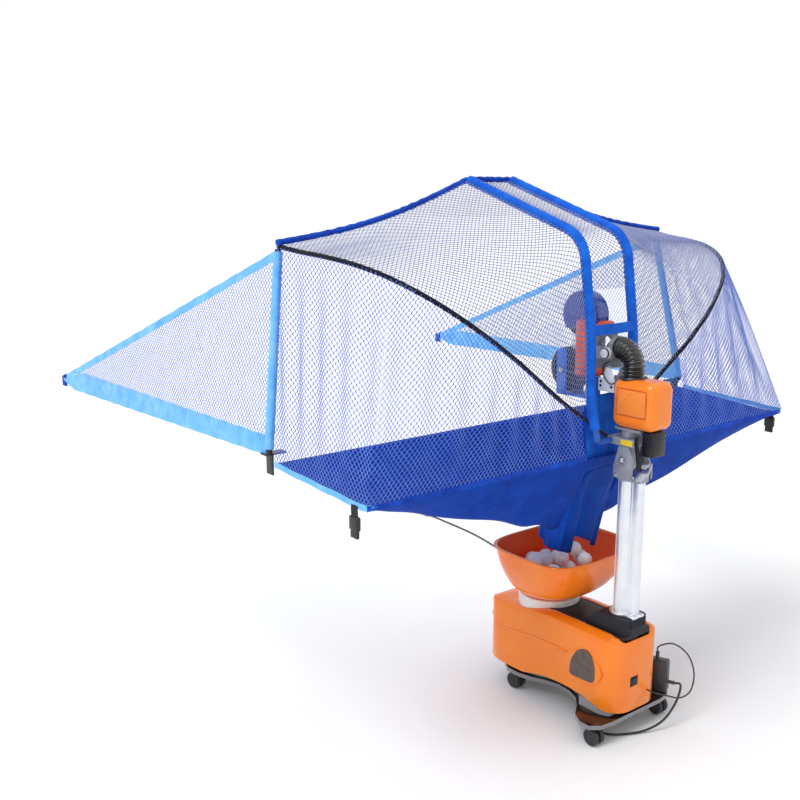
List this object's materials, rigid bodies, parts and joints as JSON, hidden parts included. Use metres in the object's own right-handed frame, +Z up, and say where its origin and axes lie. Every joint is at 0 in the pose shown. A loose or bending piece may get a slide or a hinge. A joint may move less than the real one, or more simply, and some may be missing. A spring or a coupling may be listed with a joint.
{
  "type": "table tennis robot",
  "caption": "Ball-throwing practice robot on casters with hopper, hollow column, hose, throwing head and a catch net that hooks on a table.",
  "frame": {"origin": "on the floor, below the middle of everything but the leads", "axes": "+Z up, balls are thrown towards -Y, +X is the side of the lid, the tilt knob and the latch"},
  "size_m": [1.6062, 1.8044, 1.4035],
  "materials": {
    "black_plastic": "satin",
    "caster_tread": "satin",
    "gloss_black": "gloss",
    "orange_shell": "gloss",
    "slate_plastic": "satin",
    "aluminium": "brushed",
    "plated_steel": "satin",
    "lamp": "gloss",
    "white_plastic": "satin",
    "board": "satin",
    "grey_metal": "satin",
    "pale_metal": "satin",
    "pale_plastic": "satin",
    "hose_rubber": "gloss",
    "blue_metal": "satin",
    "guard_plastic": "gloss",
    "wheel_foam": "matte",
    "rod_plastic": "satin",
    "net_mesh": "woven",
    "blue_cloth": "woven",
    "blue_band": "woven",
    "cord_skin": "satin"
  },
  "bodies": {
    "stand": {"base_tray": "gloss_black", "base_housing": "orange_shell", "deck_cover": "slate_plastic", "column_ring": "aluminium", "column": "aluminium", "status_lamp": "lamp", "hopper_ring": "white_plastic", "hopper_bowl": "orange_shell", "feed_motor": "plated_steel", "ball_channel": "white_plastic", "control_board": "board", "clamp_casting": "grey_metal", "fold_knuckle": "grey_metal", "net_bracket": "grey_metal", "latch_plate": "plated_steel", "junction_block": "black_plastic", "upper_box": "orange_shell", "hose": "hose_rubber", "elbow": "grey_metal", "cradle": "pale_metal", "pole_right": "blue_metal", "pole_left": "blue_metal", "net_arms": "blue_metal", "rod_right": "rod_plastic", "rod_left": "rod_plastic", "catch_net": "net_mesh", "side_wing_right": "net_mesh", "side_wing_left": "net_mesh", "catch_tray": "blue_cloth", "chute_sleeve": "blue_cloth", "curtain": "blue_cloth", "arm_strap": "blue_band", "adapter": "black_plastic", "dc_lead": "cord_skin", "mains_lead": "cord_skin", "mains_plug": "black_plastic", "motor_lead": "cord_skin"},
    "fork_front_right": {"caster_fork_front_right": "black_plastic"},
    "fork_front_left": {"caster_fork_front_left": "black_plastic"},
    "fork_rear_right": {"caster_fork_rear_right": "black_plastic"},
    "fork_rear_left": {"caster_fork_rear_left": "black_plastic"},
    "wheels_front_right": {"caster_wheels_front_right": "caster_tread"},
    "wheels_front_left": {"caster_wheels_front_left": "caster_tread"},
    "wheels_rear_right": {"caster_wheels_rear_right": "caster_tread"},
    "wheels_rear_left": {"caster_wheels_rear_left": "caster_tread"},
    "feeder": {"feed_wheel": "white_plastic"},
    "pinion": {"feed_pinion": "white_plastic"},
    "switch": {"power_switch": "black_plastic"},
    "lid": {"box_lid": "orange_shell"},
    "latch": {"latch_lever": "black_plastic"},
    "knob": {"tilt_knob": "pale_plastic"},
    "tilt": {"tilt_frame": "grey_metal"},
    "head": {"head_housing": "orange_shell", "ball_nozzle": "white_plastic", "upper_guard": "guard_plastic", "lower_fork": "blue_metal", "upper_motor": "guard_plastic", "lower_motor": "guard_plastic"},
    "throw_upper": {"upper_wheel": "wheel_foam"},
    "throw_lower": {"lower_wheel": "wheel_foam"}
  },
  "joints": [
    {"name": "swivel_front_right", "type": "hinge", "parent": "stand", "child": "fork_front_right", "pos_m": [0.066, 0.481, 0.05], "axis": [0, 0, 1], "continuous": true},
    {"name": "swivel_front_left", "type": "hinge", "parent": "stand", "child": "fork_front_left", "pos_m": [-0.066, 0.481, 0.05], "axis": [0, 0, 1], "continuous": true},
    {"name": "swivel_rear_right", "type": "hinge", "parent": "stand", "child": "fork_rear_right", "pos_m": [0.127, 0.818, 0.05], "axis": [0, 0, 1], "continuous": true},
    {"name": "swivel_rear_left", "type": "hinge", "parent": "stand", "child": "fork_rear_left", "pos_m": [-0.127, 0.818, 0.05], "axis": [0, 0, 1], "continuous": true},
    {"name": "roll_front_right", "type": "hinge", "parent": "fork_front_right", "child": "wheels_front_right", "pos_m": [0.066, 0.494, 0.022], "axis": [1, 0, 0], "continuous": true},
    {"name": "roll_front_left", "type": "hinge", "parent": "fork_front_left", "child": "wheels_front_left", "pos_m": [-0.066, 0.494, 0.022], "axis": [1, 0, 0], "continuous": true},
    {"name": "roll_rear_right", "type": "hinge", "parent": "fork_rear_right", "child": "wheels_rear_right", "pos_m": [0.127, 0.831, 0.022], "axis": [1, 0, 0], "continuous": true},
    {"name": "roll_rear_left", "type": "hinge", "parent": "fork_rear_left", "child": "wheels_rear_left", "pos_m": [-0.127, 0.831, 0.022], "axis": [1, 0, 0], "continuous": true},
    {"name": "feed_turn", "type": "hinge", "parent": "stand", "child": "feeder", "pos_m": [0, 0.547, 0.23], "axis": [0, 0, 1], "continuous": true},
    {"name": "pinion_turn", "type": "hinge", "parent": "stand", "child": "pinion", "pos_m": [0, 0.52, 0.204], "axis": [0, 0, 1], "continuous": true},
    {"name": "switch_rock", "type": "hinge", "parent": "stand", "child": "switch", "pos_m": [0.02, 0.863, 0.15], "axis": [1, 0, 0], "range_deg": [-10, 10]},
    {"name": "lid_flip", "type": "hinge", "parent": "stand", "child": "lid", "pos_m": [0.047, 0.832, 0.836], "axis": [0, 1, 0], "range_deg": [0, 100]},
    {"name": "latch_swing", "type": "hinge", "parent": "stand", "child": "latch", "pos_m": [0.036, 0.856, 0.704], "axis": [-1, 0, 0], "range_deg": [0, 80]},
    {"name": "knob_turn", "type": "hinge", "parent": "stand", "child": "knob", "pos_m": [0.048, 0.748, 0.978], "axis": [1, 0, 0], "continuous": true},
    {"name": "head_tilt", "type": "hinge", "parent": "stand", "child": "tilt", "pos_m": [0, 0.748, 0.978], "axis": [1, 0, 0], "range_deg": [-10, 15]},
    {"name": "head_swing", "type": "hinge", "parent": "tilt", "child": "head", "pos_m": [0, 0.698, 0.978], "axis": [0, 0, 1], "range_deg": [-20, 20]},
    {"name": "upper_spin", "type": "hinge", "parent": "head", "child": "throw_upper", "pos_m": [0, 0.64015, 1.05994], "axis": [1, 0, 0], "continuous": true},
    {"name": "lower_spin", "type": "hinge", "parent": "head", "child": "throw_lower", "pos_m": [0, 0.59585, 0.91506], "axis": [1, 0, 0], "continuous": true}
  ],
  "couplings": [
    {"joint": "pinion_turn", "follows": "feed_turn", "ratio": -2}
  ]
}
